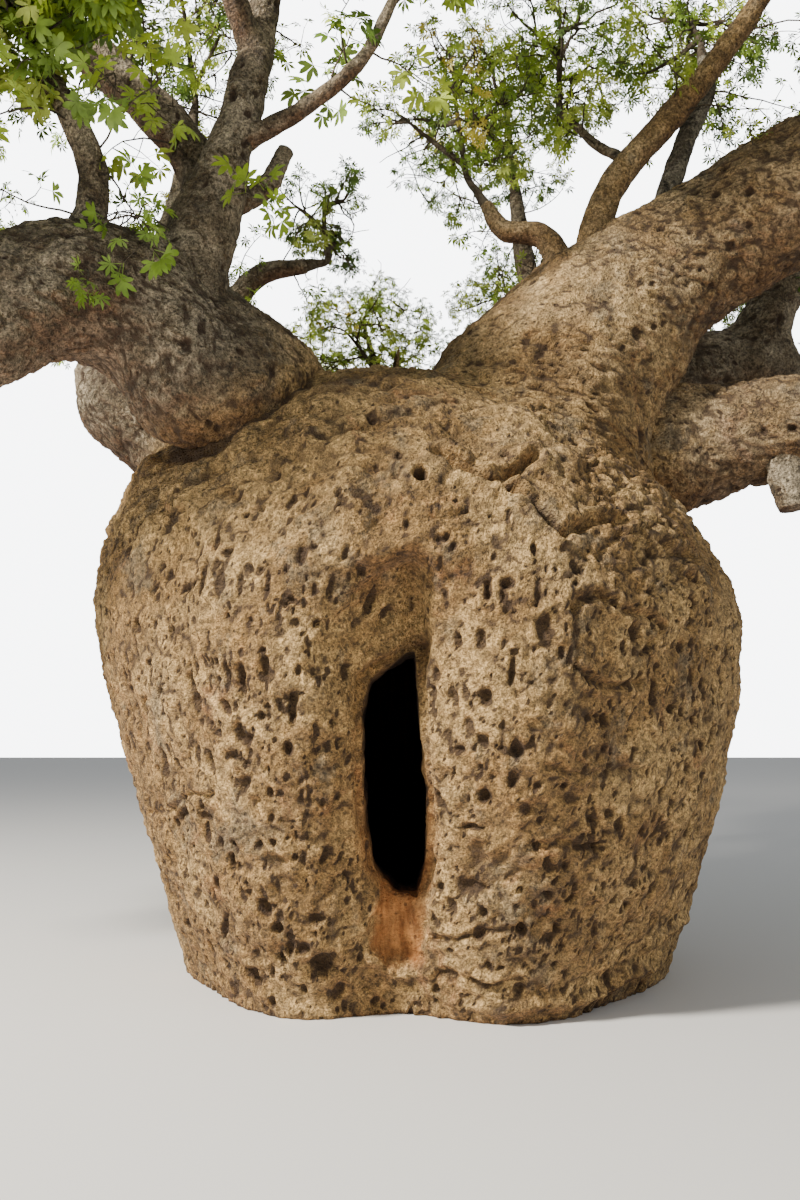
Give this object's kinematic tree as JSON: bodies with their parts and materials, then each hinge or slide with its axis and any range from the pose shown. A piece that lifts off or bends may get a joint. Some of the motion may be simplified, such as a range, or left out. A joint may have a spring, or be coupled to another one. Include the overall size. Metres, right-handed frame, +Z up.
{
  "type": "baobab tree",
  "caption": "Old hollow baobab tree with a bulging barrel trunk, an upright slit into its chamber, thick spreading boughs and an open leafy crown.",
  "frame": {"origin": "middle of the trunk's foot, on the flat cut at ground level", "axes": "+Z up, -Y the way the slit in the trunk looks, +X to the right as seen by someone who faces the slit"},
  "size_m": [12.4957, 9.1761, 9.8929],
  "materials": {
    "trunk_bark": "rough pitted grey-brown bark",
    "limb_bark": "smooth grey bark with dark mottling",
    "foliage": "soft leaves, slightly waxy"
  },
  "bodies": {
    "root": {"trunk": "trunk_bark", "bough_left_front": "trunk_bark", "bough_left_droop": "trunk_bark", "limb_left_riser": "limb_bark", "limb_left_back": "limb_bark", "limb_left_outer": "limb_bark", "limb_left_arch": "limb_bark", "stub_left": "limb_bark", "bough_left_rear": "trunk_bark", "limb_left_rear": "limb_bark", "limb_left_high": "limb_bark", "limb_middle": "limb_bark", "bough_right_front": "trunk_bark", "bough_right_outer": "trunk_bark", "bough_right_fore": "trunk_bark", "limb_fore_right": "limb_bark", "bough_right_low": "trunk_bark", "stub_right_low": "limb_bark", "bough_right_rear": "trunk_bark", "limb_right_riser": "limb_bark", "limb_right_rear": "limb_bark", "limb_pale": "limb_bark", "limb_mottled": "limb_bark", "limb_crooked": "limb_bark", "limb_inner": "limb_bark", "bough_rear": "trunk_bark", "limb_rear_mid": "limb_bark", "bough_rear_left": "trunk_bark", "bough_rear_right": "trunk_bark", "limb_rear_high": "limb_bark", "limb_fore_left": "limb_bark", "limb_fore_high": "limb_bark", "foliage_left_end": "foliage", "foliage_left_top": "foliage", "foliage_left_high": "foliage", "foliage_left_near": "foliage", "foliage_arch": "foliage", "foliage_left_rear": "foliage", "foliage_left_crown": "foliage", "foliage_middle": "foliage", "foliage_right_end": "foliage", "foliage_right_fore": "foliage", "foliage_fore_right": "foliage", "foliage_right_low": "foliage", "foliage_right_high": "foliage", "foliage_right_rear": "foliage", "foliage_right_top": "foliage", "foliage_right_crown": "foliage", "foliage_crooked": "foliage", "foliage_inner": "foliage", "foliage_rear": "foliage", "foliage_rear_mid": "foliage", "foliage_rear_left": "foliage", "foliage_rear_right": "foliage", "foliage_rear_high": "foliage", "foliage_fore_left": "foliage", "foliage_fore_high": "foliage"}
  },
  "joints": []
}
